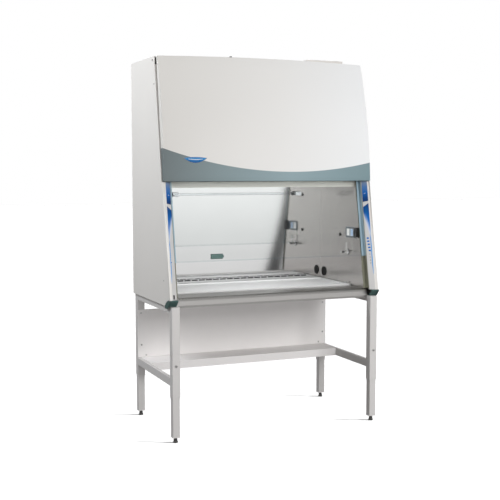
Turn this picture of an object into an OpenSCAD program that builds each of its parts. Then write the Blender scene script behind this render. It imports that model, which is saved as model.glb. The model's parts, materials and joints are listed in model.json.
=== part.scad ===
// Class II biological safety cabinet on a telescoping base stand.
// Origin: centre of the footprint on the floor. +Z is up and the front faces -Y.

/* [Cabinet] */
// Width over the side panels
cab_w = 1450; // [1440:2:1460]
// Depth from the nose to the rear panel
cab_d = 785; // [780:1:790]
// Height of the cabinet above the stand
cab_h = 1530; // [1520:2:1540]
// Lean of the sash and front columns in degrees
lean = 10; // [9.8:0.1:10.2]
// Thickness of the painted sheet
skin = 3; // [2.5:0.1:3]

/* [Sash] */
// Height of the open access gap at rest
access_gap = 209; // [203:1:215]
// Thickness of the sash glass
glass_t = 6; // [5:0.5:6]

/* [Stand] */
// Height of the stand at rest
stand_h = 838; // [830:1:850]
// Width of the outer leg tube
leg_w = 50; // [49:1:51]
// Width of the telescoping inner leg
inner_w = 44; // [42:0.5:44]
// Wall thickness of the leg tubes
wall = 2.5; // [2:0.1:2.5]
// Height of the shelf surface
shelf_z = 402; // [400:1:410]

/* [Hidden] */
$fn = 64;
eps = 0.05;              // running clearance of pins and shafts
half_w = cab_w / 2;
nose_y = -cab_d / 2;
back_y = cab_d / 2;
base_z = stand_h;
nose_z = base_z + 39;
top_z = base_z + cab_h;
column_z0 = nose_z + 3;  // lower end of the front columns
open_z = base_z + 756;   // top of the access opening
sill_z = base_z + 47;    // top of the front grille
rim_z = base_z + 57;     // rim of the work surface
ceiling_z = base_z + 722;
sash_len = 730;
sash_d = 60;             // depth of the glass behind the sloped front
sash_z = sill_z + access_gap + 3 + (sash_d + glass_t) * sin(lean);
inner_x = 655;           // half width of the work space
inner_y = 316;           // face of the inner back wall
column_x = 670;          // inner edge of the front columns
film_x = 704;            // outer edge of the column faces
leg_x = half_w - 38;
leg_y = back_y - leg_w / 2;
outer_leg_z = 282;       // lower end of the outer leg tubes
rail_x = leg_x + leg_w / 2 - 25;
face_turn = 29.2;        // inward turn of the column faces
edge_r = 8;              // radius of the side panels' front edges
edge_d = 11;             // depth of that radius' centre
rebate_d = 17;           // depth of the rebate that the front panel closes into
rebate_x = 690;
pin_z = top_z - 22;      // front panel hinge
pin_d = 54;
pin_r = 4;
shaft_y = -48;
shaft_z = base_z + 1462;
shaft_r = 8;
fan_y = 105;
fan_z = base_z + 1052;
key_pitch = 20.5;
key_z0 = base_z + 382;   // uppermost key
key_x = 684;
key_step = 1.5;          // step outwards from one key to the next
key_w = 16;
key_h = 10;

// Y of the sloped front plane at a height
function front_y(z) = nose_y + (z - nose_z) * tan(lean);
// Y of a point at a depth behind the sloped front plane
function behind_y(z, depth) = front_y(z) + depth / cos(lean);
// Depth of the column face below the sloped front plane, at a distance from the centre
function face_depth(x) = 4 + (713.1 - x) * tan(face_turn);

pin_y = behind_y(pin_z, pin_d);

// ---- placing helpers ----

// The sloped front plane at a height: X across, Y is depth, Z runs up the slope
module on_slope(z) translate([0, front_y(z), z]) rotate([-lean, 0, 0]) children();

// A plan outline run up the slope between two heights
module slope_prism(z0, z1) {
    len = (z1 - z0) / cos(lean);
    intersection() {
        on_slope(z0) translate([0, 0, -80]) linear_extrude(len + 160) children();
        translate([-half_w - 50, -cab_d, z0]) cube([cab_w + 100, 2 * cab_d, z1 - z0]);
    }
}

// An outline in Y and Z run along X
module side_prism(x0, x1)
    translate([x0, 0, 0]) rotate([90, 0, 90]) linear_extrude(x1 - x0) children();

// An outline in X and Z run along Y
module front_prism(y0, y1)
    translate([0, y1, 0]) rotate([90, 0, 0]) linear_extrude(y1 - y0) children();

module both_sides() {
    children();
    mirror([1, 0, 0]) children();
}

module box(x0, x1, y0, y1, z0, z1)
    translate([x0, y0, z0]) cube([x1 - x0, y1 - y0, z1 - z0]);

module rod_x(x0, x1, y, z, r) translate([x0, y, z]) rotate([0, 90, 0]) cylinder(r = r, h = x1 - x0);

module rod_y(x, y0, y1, z, r) translate([x, y0, z]) rotate([-90, 0, 0]) cylinder(r = r, h = y1 - y0);

// ---- outer cabinet ----

module side_outline() polygon([
    [back_y, base_z], [back_y, top_z], [behind_y(top_z, rebate_d), top_z],
    [behind_y(open_z, rebate_d), open_z], [behind_y(open_z, 10), open_z],
    [behind_y(column_z0, 10), column_z0], [behind_y(column_z0, 10), nose_z],
    [nose_y + 44, base_z]]);

// Skin of the rounded front edge, in plan, down to the edge of the column face
module edge_outline(inset) {
    x = half_w - inset;
    d = face_depth(film_x) + inset / cos(face_turn);
    tx = half_w - edge_r - (edge_r - inset) * sin(face_turn);
    translate([half_w - edge_r, edge_d]) circle(edge_r - inset);
    polygon([[x, edge_d], [x, 20 + inset], [film_x - 2 * inset, 20 + inset],
        [film_x - 2 * inset, d + 2 * inset * tan(face_turn)],
        [tx, edge_d - (edge_r - inset) * cos(face_turn)], [half_w - edge_r, edge_d]]);
}

module side_panel() {
    difference() {
        side_prism(half_w - skin, half_w) side_outline();
        rod_x(half_w - 10, half_w + 10, pin_y, pin_z, pin_r + eps);
    }
    slope_prism(column_z0, open_z) difference() {
        edge_outline(0);
        edge_outline(2);
    }
    // return behind the front panel
    slope_prism(open_z, pin_z - 30) translate([rebate_x, rebate_d + 1])
        square([half_w - skin - rebate_x, 2]);
}

module side_panel_right() color("gainsboro") side_panel();
module side_panel_left() color("gainsboro") mirror([1, 0, 0]) side_panel();

module rear_panel() color("gainsboro")
    box(-half_w + skin, half_w - skin, back_y - skin, back_y, base_z, top_z - skin);

exhaust_x = 280;
exhaust_y0 = -20;
exhaust_y1 = 260;
canopy_dx = 330;         // half spacing of the canopy holes
canopy_dy = 180;
canopy_r = 3.3;

module roof_panel() color("gainsboro") {
    difference() {
        box(-half_w + skin, half_w - skin, pin_y - 30, back_y, top_z - skin, top_z);
        // room for the ears of the front panel
        both_sides() box(panel_w1 - 9, panel_w1 + 1, pin_y - 40, pin_y + 8, top_z - 10, top_z + 10);
        box(-exhaust_x, exhaust_x, exhaust_y0, exhaust_y1, top_z - 10, top_z + 10);
        for (x = [-canopy_dx, canopy_dx], y = [-canopy_dy, canopy_dy])
            translate([x, 120 + y, top_z - 10]) cylinder(r = canopy_r, h = 20);
    }
    // hangers that carry the pulley shaft
    both_sides() difference() {
        box(660, 664, shaft_y - 14, shaft_y + 14, shaft_z - 16, top_z - skin);
        rod_x(650, 670, shaft_y, shaft_z, shaft_r + eps);
    }
}

module drain_pan() color("silver") {
    box(-half_w + skin, half_w - skin, -338, back_y - skin, base_z, base_z + 3);
    both_sides() box(640, 643, -140, 305, base_z + 3, rim_z - 10);
    box(-640, 640, -140, -137, base_z + 3, rim_z - 10);
    box(-640, 640, 302, 305, base_z + 3, rim_z - 10);
}

module corner_cap() {
    // outer skirt
    side_prism(half_w, half_w + 1.5) polygon([
        [-298, base_z - 14], [-298, base_z + 4], [-326, base_z + 26], [-344, base_z + 35],
        [-370, base_z + 43], [nose_y - 0.5, nose_z + 2.5], [nose_y - 0.5, nose_z - 6],
        [nose_y + 42, base_z - 14]]);
    // wedge that closes the foot of the column
    side_prism(column_x + 1, half_w - skin - eps) polygon([
        [nose_y, nose_z + 2.5], [nose_y, nose_z - 5], [nose_y + 36, base_z + 0.5],
        [nose_y + 43, base_z + 0.5], [nose_y + 5, nose_z - 0.5], [nose_y + 47, nose_z - 0.5],
        [nose_y + 47, nose_z + 2.5]]);
}

module corner_caps() color("darkslategray") both_sides() corner_cap();

module junction_box() color("gainsboro") {
    difference() {
        front_prism(30, 150)
            polygon([[378, top_z], [398, top_z + 41], [668, top_z + 41], [668, top_z]]);
        front_prism(32, 148)
            polygon([[382, top_z - 1], [400, top_z + 39], [666, top_z + 39], [666, top_z - 1]]);
    }
    rod_y(560, 18, 32, top_z + 24, 9);
}

module side_cover() color("silver")
    slope_prism(base_z + 1062, base_z + 1269) polygon([[half_w, 46], [half_w + 10, 50],
        [half_w + 10, 84], [half_w, 88]]);

// ---- hinged front panel ----

panel_w0 = 720;          // half width at the bottom
panel_w1 = 712;          // half width at the top
panel_proud = 8;
panel_bulge = 30;
panel_depth = 14;
panel_t = 2.5;
arch = 14;
lock_x = -222;
lock_r = 5.5;
lock_head_r = 9;
key_bow = [4, 28, 4];    // bow of the key that stays in the lock
arc_len = (top_z - open_z - 3) / cos(lean);
arc_r = (pow(arc_len / 2, 2) + pow(panel_bulge, 2)) / (2 * panel_bulge);
arch_r = (pow(panel_w1, 2) + pow(arch, 2)) / (2 * arch);

module panel_side(inset) {
    z0 = open_z + 3 + inset;
    z1 = top_z + arch + 6;
    mid_z = (open_z + 3 + top_z) / 2;
    intersection() {
        translate([behind_y(mid_z, -panel_proud) + (arc_r - panel_bulge) * cos(lean),
            mid_z - (arc_r - panel_bulge) * sin(lean)]) circle(arc_r - inset, $fn = 720);
        polygon([[behind_y(z0, panel_depth + inset), z0], [nose_y - 100, z0],
            [nose_y - 100, z1], [behind_y(z1, panel_depth + inset), z1]]);
    }
}

module panel_front(inset) intersection() {
    polygon([[-panel_w0 + inset, open_z], [panel_w0 - inset, open_z],
        [panel_w1 - inset, top_z], [panel_w1 - inset, top_z + 60],
        [-panel_w1 + inset, top_z + 60], [-panel_w1 + inset, top_z]]);
    translate([0, top_z + arch - arch_r]) circle(arch_r - inset, $fn = 1440);
}

module front_panel() color("whitesmoke") difference() {
    union() {
        difference() {
            intersection() {
                side_prism(-panel_w0, panel_w0) panel_side(0);
                front_prism(nose_y, 200) panel_front(0);
            }
            intersection() {
                side_prism(-panel_w0, panel_w0) panel_side(panel_t);
                front_prism(nose_y, 200) panel_front(panel_t);
            }
        }
        // hinge ears
        both_sides() side_prism(panel_w1 - 6, panel_w1 - 2) {
            translate([pin_y, pin_z]) circle(12);
            polygon([[pin_y, pin_z - 12], [pin_y, pin_z + 12],
                [behind_y(pin_z, 0), pin_z + 12], [behind_y(pin_z, 0), pin_z - 12]]);
        }
    }
    both_sides() rod_x(panel_w1 - 20, panel_w1 + 20, pin_y, pin_z, pin_r + eps);
    translate([lock_x, behind_y(top_z, 3), top_z]) cylinder(r = lock_r + eps, h = arch + 10);
}

module hinge_pins() color("dimgray") both_sides() {
    rod_x(panel_w1 - 12, half_w, pin_y, pin_z, pin_r);
    rod_x(half_w, half_w + 1.5, pin_y, pin_z, 7);
}

// Keyed lock through the top edge of the panel
module panel_lock() color("dimgray")
    translate([lock_x, behind_y(top_z, 3), top_z + arch - 0.8]) {
        translate([0, 0, -12]) cylinder(r = lock_r, h = 13);
        cylinder(r = lock_head_r, h = 3);
        translate([-key_bow[0] / 2, -key_bow[1] / 2, 1]) cube(key_bow);
    }

// ---- front columns, keys and sash guides ----

module column_outline() polygon([
    [film_x - eps, face_depth(film_x)], [column_x + 1.5, face_depth(column_x + 1.5)],
    [column_x + 0.2, face_depth(column_x) + 1.2], [column_x + 0.2, 40], [film_x - eps, 40]]);

module column() slope_prism(column_z0, open_z) column_outline();

// A point on the right column's face: X across it, Y into it
module on_face(x, z) on_slope(z) translate([x, face_depth(x), 0]) rotate([0, 0, -face_turn]) children();

module stadium(w, h) {
    square([w - h, h], center = true);
    translate([-(w - h) / 2, 0]) circle(h / 2);
    translate([(w - h) / 2, 0]) circle(h / 2);
}

module key(row) color("royalblue") on_face(key_x + key_step * row, key_z0 - row * key_pitch)
    translate([0, -1.6, 0]) rotate([-90, 0, 0]) linear_extrude(4.6) stadium(key_w, key_h);

module key_pocket(row) on_face(key_x + key_step * row, key_z0 - row * key_pitch)
    translate([0, -5, 0]) rotate([-90, 0, 0]) linear_extrude(10)
        stadium(key_w + 0.6, key_h + 0.6);

module column_right() color("lightgray") difference() {
    column();
    for (row = [0:4]) key_pocket(row);
}

module key_blower() key(0);
module key_light() key(1);
module key_uv() key(2);
module key_outlet() key(3);
module key_alarm() key(4);

socket_z = base_z + 63;

module column_left() color("lightgray") mirror([1, 0, 0]) difference() {
    column();
    on_face(692, socket_z) box(-6.2, 6.2, -5, 8, -13.2, 13.2);
}

module service_socket() color("black") mirror([1, 0, 0]) on_face(692, socket_z) difference() {
    box(-6, 6, -1, 7.8, -13, 13);
    box(-3.5, 3.5, -2, 4, -10, -1.5);
    box(-3.5, 3.5, -2, 4, 1.5, 10);
}

module sash_guides() color("darkolivegreen") both_sides() slope_prism(sill_z + 2, top_z - 32) {
    translate([column_x - 2, 29]) square([2, 42]);
    translate([column_x - 19, sash_d + 8]) square([21, 3]);
}

// ---- sash ----

module sash_slab(x0, x1, d0, d1, s0, s1)
    on_slope(sash_z) translate([x0, d0, s0]) cube([x1 - x0, d1 - d0, s1 - s0]);

module sash_glass() color("lightcyan", 0.35)
    sash_slab(-664, 664, sash_d, sash_d + glass_t, 3, sash_len);

module sash_trim() color("cadetblue") {
    // edge guards with a flange along the guides
    both_sides() {
        sash_slab(650, 667, sash_d - 3, sash_d - eps, 0, sash_len);
        sash_slab(665, 667, sash_d - 29, sash_d - 3, 0, sash_len);
    }
    // bumper under the glass
    sash_slab(-650, 650, sash_d - 3, sash_d - eps, 0, 9);
    sash_slab(-664, 664, sash_d - eps, sash_d + glass_t, 0, 3 - eps);
}

module counterweights() color("dimgray") both_sides() {
    box(687, 710, shaft_y - 12, shaft_y + 72, base_z + 612, base_z + 1112);
    translate([698, shaft_y + 26, base_z + 1112]) cylinder(r = 7, h = 14);
}

pulley_r = 26;
pulley_rim_r = 30;
pulley_hole_r = 4.5;
pulley_hole_d = 17;      // distance of the holes from the shaft

module pulley_shaft() color("silver") {
    rod_x(-716, 716, shaft_y, shaft_z, shaft_r);
    both_sides() difference() {
        union() {
            rod_x(688, 691, shaft_y, shaft_z, pulley_rim_r);
            rod_x(691, 703, shaft_y, shaft_z, pulley_r);
            rod_x(703, 706, shaft_y, shaft_z, pulley_rim_r);
        }
        for (turn = [0:60:300])
            rod_x(680, 715, shaft_y + pulley_hole_d * cos(turn),
                shaft_z + pulley_hole_d * sin(turn), pulley_hole_r);
    }
}

// ---- work space ----

slot_pitch = 52;

module inner_back_wall() color("silver") difference() {
    box(-inner_x, inner_x, inner_y, inner_y + 2, base_z + 3, ceiling_z + 80);
    for (i = [-10:10]) {
        box(i * slot_pitch - 22, i * slot_pitch + 22, inner_y - 5, inner_y + 5,
            rim_z + 14, rim_z + 22);
        box(i * slot_pitch - 2, i * slot_pitch + 44, inner_y - 5, inner_y + 5,
            rim_z + 26, rim_z + 30);
    }
}

module wall_outline() polygon([
    [inner_y + 2, base_z + 3], [inner_y + 2, ceiling_z + 80],
    [behind_y(ceiling_z + 80, 73), ceiling_z + 80], [behind_y(sill_z + 1, 73), sill_z + 1],
    [behind_y(sill_z + 1, 73) + 30, base_z + 3]]);

port_y = 257;
port_z = base_z + 106;
port_r = 30;
small_port_y = 18;
small_port_z = base_z + 385;
small_port_r = 8;
valve_y = -97;
valve_z = base_z + 273;
outlet_y = -129;
outlet_z = base_z + 408;

module inner_wall() difference() {
    side_prism(inner_x, inner_x + 2) wall_outline();
    rod_x(inner_x - 5, inner_x + 5, port_y, port_z, port_r);
}

module inner_wall_left() color("silver") mirror([1, 0, 0]) inner_wall();

module inner_wall_right() color("silver") difference() {
    inner_wall();
    rod_x(inner_x - 5, inner_x + 5, small_port_y, small_port_z, small_port_r);
    rod_x(inner_x - 5, inner_x + 5, valve_y, valve_z, 9);
    box(inner_x - 5, inner_x + 5, outlet_y - 50, outlet_y + 50, outlet_z - 26, outlet_z + 26);
}

module port_plug(y, z, r) {
    rod_x(inner_x - 4, inner_x, y, z, r + 3);
    rod_x(inner_x, inner_x + 6, y, z, r - eps);
}

module port_plugs() color("black") {
    both_sides() port_plug(port_y, port_z, port_r);
    port_plug(small_port_y, small_port_z, small_port_r);
}

module supply_diffuser() color("gainsboro") {
    box(-inner_x + 0.5, inner_x - 0.5, -172, inner_y, ceiling_z, ceiling_z + 2);
    box(-inner_x + 0.5, inner_x - 0.5, -175, -172, ceiling_z - 4, ceiling_z + 80);
}

grille_pitch = 20;
grille_hole_r = 3;

module front_grille() color("silver") difference() {
    union() {
        // rounded lip between the columns, with a row of holes along its upper slope
        side_prism(-column_x + 3, column_x - 3) polygon([
            [-342, base_z + 1], [-336, base_z + 28], [-330, base_z + 38], [-322, sill_z - 3],
            [-321, sill_z - 5], [-328, base_z + 37], [-334, base_z + 27], [-340, base_z + 3.5],
            [-340, base_z + 1]]);
        // top
        side_prism(-inner_x + 0.5, inner_x - 0.5) polygon([
            [-322, sill_z - 3], [-312, sill_z], [-152, sill_z], [-152, sill_z - 10],
            [-154, sill_z - 10], [-154, sill_z - 2], [-312, sill_z - 2], [-321, sill_z - 5]]);
        // apron under the lip
        side_prism(-column_x + 10, column_x - 10) polygon([
            [-349, base_z - 10], [-342, base_z + 1], [-340, base_z + 1], [-347, base_z - 10]]);
    }
    for (i = [-32:32]) translate([i * grille_pitch, -326, base_z + 41]) rotate([37, 0, 0])
        translate([0, 0, -5]) cylinder(r = grille_hole_r, h = 10, $fn = 24);
}

module work_surface() color("silver") difference() {
    box(-650, 650, -148, inner_y - 4, rim_z - 10, rim_z);
    box(-626, 626, -130, inner_y - 30, rim_z - 7, rim_z + 5);
}

knob_x = 638;
knob_y = -95;

module tray_knobs() color("silver") both_sides() translate([knob_x, knob_y, rim_z]) {
    cylinder(r = 4, h = 6);
    translate([0, 0, 6]) cylinder(r = 9, h = 5);
}

module info_plate() color("slategray") front_prism(inner_y - 1.5, inner_y) polygon([
    [-194, base_z + 216], [-194, base_z + 252], [-106, base_z + 252],
    [-95, base_z + 234], [-106, base_z + 216]]);

uv_x = 440;              // half length of the lamp
uv_y = 284;
uv_z = base_z + 664;
uv_r = 8;
uv_socket_r = 14;

module uv_lamp() color("white") rod_x(-uv_x, uv_x, uv_y, uv_z, uv_r);

module uv_sockets() color("silver") both_sides() difference() {
    union() {
        rod_x(uv_x - 4, uv_x + 38, uv_y, uv_z, uv_socket_r);
        box(uv_x + 6, uv_x + 30, uv_y, inner_y, uv_z - 8, uv_z + 8);
    }
    rod_x(uv_x - 10, uv_x + eps, uv_y, uv_z, uv_r + eps);
}

module valve_body() color("silver") {
    rod_x(inner_x - 4, inner_x, valve_y, valve_z, 16);
    rod_x(inner_x - 34, inner_x + 30, valve_y, valve_z, 8.5);
    rod_x(inner_x - 50, inner_x - 34, valve_y, valve_z, 5);
    rod_x(inner_x - 56, inner_x - 50, valve_y, valve_z, 6.5);
    rod_y(inner_x - 22, valve_y - 20, valve_y, valve_z, 5);
}

module valve_lever() color("silver") {
    difference() {
        rod_y(inner_x - 22, valve_y - 19, valve_y - 10, valve_z, 9);
        rod_y(inner_x - 22, valve_y - 30, valve_y, valve_z, 5 + eps);
    }
    box(inner_x - 25.5, inner_x - 18.5, valve_y - 18, valve_y - 14, valve_z + 8, valve_z + 62);
    rod_y(inner_x - 22, valve_y - 19, valve_y - 13, valve_z + 62, 6);
}

// Two receptacles side by side on a plate
module outlet() color("whitesmoke") difference() {
    union() {
        box(inner_x - 4, inner_x, outlet_y - 60, outlet_y + 60, outlet_z - 36, outlet_z + 36);
        box(inner_x, inner_x + 27, outlet_y - 49, outlet_y + 49, outlet_z - 25, outlet_z + 25);
        // hinge barrel of the cover
        translate([inner_x - 9, outlet_y - 64, outlet_z - 30]) cylinder(r = 4, h = 16);
        translate([inner_x - 9, outlet_y - 64, outlet_z + 14]) cylinder(r = 4, h = 16);
        box(inner_x - 9, inner_x, outlet_y - 66, outlet_y - 58, outlet_z - 30, outlet_z - 14);
        box(inner_x - 9, inner_x, outlet_y - 66, outlet_y - 58, outlet_z + 14, outlet_z + 30);
        translate([inner_x - 9, outlet_y - 64, outlet_z - 15]) cylinder(r = 1.95, h = 30);
    }
    for (side = [-1, 1]) translate([0, outlet_y + side * 26, 0]) {
        box(inner_x - 5, inner_x + 12, -8, -5, outlet_z + 2, outlet_z + 12);
        box(inner_x - 5, inner_x + 12, 5, 8, outlet_z + 2, outlet_z + 12);
        rod_x(inner_x - 5, inner_x + 12, 0, outlet_z - 9, 3);
    }
}

cover_open = 160;        // angle of the outlet cover at rest
cover_y = outlet_y - 64;
cover_len = 54;

module outlet_cover() color("dimgray") translate([inner_x - 9, cover_y, outlet_z]) {
    rotate([0, 0, cover_open]) difference() {
        union() {
            translate([0, 0, -13]) cylinder(r = 4, h = 26);
            box(-4, -1.5, 0, cover_len, -13, 13);
            box(-4, -1.5, 6, cover_len, -34, 34);
        }
        translate([0, 0, -40]) cylinder(r = 2, h = 80);
    }
}

// ---- air handling and lights ----

module plenum_panel() color("gainsboro")
    slope_prism(ceiling_z + 84, top_z - 28) translate([-650, 76]) square([1300, 2.5]);

filter_wall = 8;
media_z = 50;            // height of the media above the frame's lower edge
media_t = 5;

// A frame that holds a sheet of media, open above and below
module filter(x, y0, y1, z0, z1) difference() {
    box(-x, x, y0, y1, z0, z1);
    box(filter_wall - x, x - filter_wall, y0 + filter_wall, y1 - filter_wall,
        z0 - 1, z0 + media_z);
    box(filter_wall - x, x - filter_wall, y0 + filter_wall, y1 - filter_wall,
        z0 + media_z + media_t, z1 + 1);
}

module supply_filter() color("white") filter(645, -168, 306, ceiling_z + 4, ceiling_z + 128);

module exhaust_filter() color("white") filter(300, -30, 270, top_z - 160, top_z - skin);

module exhaust_guard() color("gainsboro") difference() {
    box(-300, 300, -40, 280, top_z, top_z + 2);
    for (i = [-13:13], j = [0:2])
        box(i * 20 - 6, i * 20 + 6, -12 + j * 92, 68 + j * 92, top_z - 5, top_z + 5);
}

module blower_housing() color("silver") difference() {
    box(-190, 190, -75, 285, fan_z - 200, fan_z + 180);
    box(-187, 187, -72, 282, fan_z - 197, fan_z + 177);
    rod_x(-200, 200, fan_y, fan_z, 115);
    box(-120, 120, 0, 200, fan_z - 210, fan_z - 190);
}

module blower_motor() color("dimgray") {
    rod_x(198, 310, fan_y, fan_z, 70);
    rod_x(-20, 198, fan_y, fan_z, shaft_r);
    for (turn = [0, 120, 240]) translate([0, fan_y, fan_z]) rotate([turn, 0, 0])
        box(190 + eps, 204, -12, 12, 20, 135);
}

wheel_r = 140;
wheel_eye_r = 105;

module blower_wheel() color("silver") {
    difference() {
        union() {
            rod_x(-95, -90, fan_y, fan_z, wheel_r);
            rod_x(85, 90, fan_y, fan_z, wheel_r);
        }
        rod_x(-100, 100, fan_y, fan_z, wheel_eye_r);
    }
    difference() {
        union() {
            rod_x(-4, 0, fan_y, fan_z, wheel_r - 2);
            rod_x(-18, 18, fan_y, fan_z, 22);
        }
        rod_x(-30, 30, fan_y, fan_z, shaft_r + eps);
    }
    for (turn = [0:15:345]) translate([0, fan_y, fan_z]) rotate([turn, 0, 0])
        translate([-91, -1, 108]) rotate([-25, 0, 0]) cube([177, 2, 28]);
}

module lamp_housing() color("whitesmoke") difference() {
    box(-600, 600, -238, -208, ceiling_z + 72, ceiling_z + 110);
    box(-596, 596, -235, -211, ceiling_z + 60, ceiling_z + 100);
}

module lamp_tubes() color("white") rod_x(-590, 590, -223, ceiling_z + 84, 8);

// ---- stand ----

module leg_tube(x, y) difference() {
    translate([x - leg_w / 2, y - leg_w / 2, outer_leg_z])
        cube([leg_w, leg_w, base_z - outer_leg_z]);
    translate([x - leg_w / 2 + wall, y - leg_w / 2 + wall, outer_leg_z - 1])
        cube([leg_w - 2 * wall, leg_w - 2 * wall, base_z - outer_leg_z - 2]);
}

screw_z = [base_z - 133, base_z - 350];
bolt_z = 477;
screw_r = 3;

module stand_frame() color("gainsboro") both_sides() difference() {
    union() {
        leg_tube(leg_x, -leg_y);
        leg_tube(leg_x, leg_y);
        box(leg_x - 15, leg_x + 25, -leg_y + leg_w / 2, leg_y - leg_w / 2, base_z - 40, base_z);
        box(rail_x, rail_x + 25, -leg_y + leg_w / 2, leg_y - leg_w / 2, shelf_z - 52, shelf_z - 2);
    }
    for (z = screw_z) rod_y(leg_x, leg_y - leg_w, leg_y, z, screw_r + eps);
    rod_y(leg_x, -leg_y - leg_w, -leg_y - leg_w / 2 + wall + 1, bolt_z, 5 + eps);
    rod_y(leg_x, leg_y + leg_w / 2 - wall - 1, leg_y + leg_w, bolt_z, 5 + eps);
}

plug_z = 33;
foot_r = 15;
stem_r = 6;

module inner_leg(x, y) color("gainsboro") translate([x, y, 0]) difference() {
    union() {
        translate([-inner_w / 2, -inner_w / 2, plug_z + 5]) cube([inner_w, inner_w, 462]);
        translate([-inner_w / 2 - 1.5, -inner_w / 2 - 1.5, plug_z]) cube([inner_w + 3, inner_w + 3, 5]);
    }
    translate([-inner_w / 2 + wall, -inner_w / 2 + wall, plug_z + 25])
        cube([inner_w - 2 * wall, inner_w - 2 * wall, 500]);
    cylinder(r = stem_r + eps, h = 100);
}

module foot(x, y) color("dimgray") translate([x, y, 0]) rotate_extrude() polygon([
    [0, 0], [foot_r - 1, 0], [foot_r, 1], [foot_r, 7], [12, 12], [12, 23], [stem_r, 24],
    [stem_r, 92], [stem_r - 1, 93], [0, 93]]);

module inner_leg_fl() inner_leg(-leg_x, -leg_y);
module inner_leg_fr() inner_leg(leg_x, -leg_y);
module inner_leg_rl() inner_leg(-leg_x, leg_y);
module inner_leg_rr() inner_leg(leg_x, leg_y);
module foot_fl() foot(-leg_x, -leg_y);
module foot_fr() foot(leg_x, -leg_y);
module foot_rl() foot(-leg_x, leg_y);
module foot_rr() foot(leg_x, leg_y);

shelf_y0 = 130;
panel_y = leg_y - leg_w / 2;
shelf_screw_x = 655;
shelf_screw_z = shelf_z + 14;

module shelf() color("gainsboro") difference() {
    union() {
        box(-rail_x, rail_x, shelf_y0, panel_y - 1.5, shelf_z - 2, shelf_z);
        box(-rail_x, rail_x, shelf_y0, shelf_y0 + 2, shelf_z - 52, shelf_z - 2);
        box(-rail_x, rail_x, shelf_y0 + 2, shelf_y0 + 16, shelf_z - 52, shelf_z - 50);
        both_sides() box(rail_x - 2, rail_x, shelf_y0 + 2, panel_y - 4, shelf_z - 46, shelf_z - 2);
        // rear upstand
        box(-660, 660, panel_y - 1.5, panel_y + 2, shelf_z - 2, shelf_z);
        box(-660, 660, panel_y, panel_y + 2, shelf_z, shelf_z + 26);
    }
    for (x = [-shelf_screw_x, shelf_screw_x])
        rod_y(x, panel_y - 5, panel_y + 5, shelf_screw_z, screw_r + eps);
}

module stand_back_panel() color("gainsboro") difference() {
    union() {
        box(-leg_x - 25, leg_x + 25, panel_y - 1.5, panel_y, shelf_z + 2, base_z - 111);
        box(-655, 655, panel_y, panel_y + 12, base_z - 112.5, base_z - 111);
    }
    for (x = [-leg_x, leg_x], z = screw_z) rod_y(x, panel_y - 5, panel_y + 5, z, screw_r + eps);
    for (x = [-shelf_screw_x, shelf_screw_x])
        rod_y(x, panel_y - 5, panel_y + 5, shelf_screw_z, screw_r + eps);
}

module screw(x, z) {
    rod_y(x, panel_y - 4, panel_y - 1.5, z, 6);
    rod_y(x, panel_y - 1.5, panel_y + 2.4, z, screw_r);
}

module leg_bolt(x, y, out) translate([x, y, bolt_z]) rotate([out * 90, 0, 0]) {
    cylinder(r = 8, h = 4, $fn = 6);
    translate([0, 0, -wall]) cylinder(r = 5, h = wall);
}

module stand_screws() color("gray") both_sides() {
    for (z = screw_z) screw(leg_x, z);
    screw(shelf_screw_x, shelf_screw_z);
    leg_bolt(leg_x, -leg_y - leg_w / 2, 1);
    leg_bolt(leg_x, leg_y + leg_w / 2, -1);
}

side_panel_left();
side_panel_right();
rear_panel();
roof_panel();
drain_pan();
inner_back_wall();
inner_wall_left();
inner_wall_right();
supply_diffuser();
plenum_panel();
supply_filter();
exhaust_filter();
exhaust_guard();
junction_box();
side_cover();
blower_housing();
blower_motor();
blower_wheel();
front_grille();
work_surface();
tray_knobs();
front_panel();
panel_lock();
hinge_pins();
lamp_housing();
lamp_tubes();
uv_lamp();
uv_sockets();
sash_glass();
sash_trim();
sash_guides();
counterweights();
pulley_shaft();
column_left();
column_right();
key_blower();
key_light();
key_uv();
key_outlet();
key_alarm();
service_socket();
corner_caps();
valve_body();
valve_lever();
outlet();
outlet_cover();
port_plugs();
info_plate();
stand_frame();
inner_leg_fl();
inner_leg_fr();
inner_leg_rl();
inner_leg_rr();
foot_fl();
foot_fr();
foot_rl();
foot_rr();
shelf();
stand_back_panel();
stand_screws();
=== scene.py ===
"""Looks of a biological safety cabinet on a telescoping stand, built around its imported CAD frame."""

import json
import math

import bmesh
import bpy
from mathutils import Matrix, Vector


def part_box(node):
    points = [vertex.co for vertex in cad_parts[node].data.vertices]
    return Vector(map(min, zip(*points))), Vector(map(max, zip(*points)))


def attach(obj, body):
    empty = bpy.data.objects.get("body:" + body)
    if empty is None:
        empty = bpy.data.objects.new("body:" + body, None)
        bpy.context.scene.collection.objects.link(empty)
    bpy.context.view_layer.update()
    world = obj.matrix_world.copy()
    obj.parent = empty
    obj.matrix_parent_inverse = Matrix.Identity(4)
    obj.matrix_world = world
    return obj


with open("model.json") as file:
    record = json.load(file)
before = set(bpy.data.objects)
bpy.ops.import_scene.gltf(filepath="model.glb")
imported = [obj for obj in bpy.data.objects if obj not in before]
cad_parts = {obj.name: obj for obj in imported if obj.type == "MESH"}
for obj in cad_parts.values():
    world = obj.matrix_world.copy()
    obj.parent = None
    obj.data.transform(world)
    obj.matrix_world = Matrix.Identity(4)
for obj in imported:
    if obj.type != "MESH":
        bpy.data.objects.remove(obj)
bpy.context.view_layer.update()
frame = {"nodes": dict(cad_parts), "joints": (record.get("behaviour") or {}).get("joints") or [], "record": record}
NODES = frame["nodes"]
JOINTS = {j["name"]: j for j in frame["joints"]}
MM = 0.001

# ---- places taken from the frame ----

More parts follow.
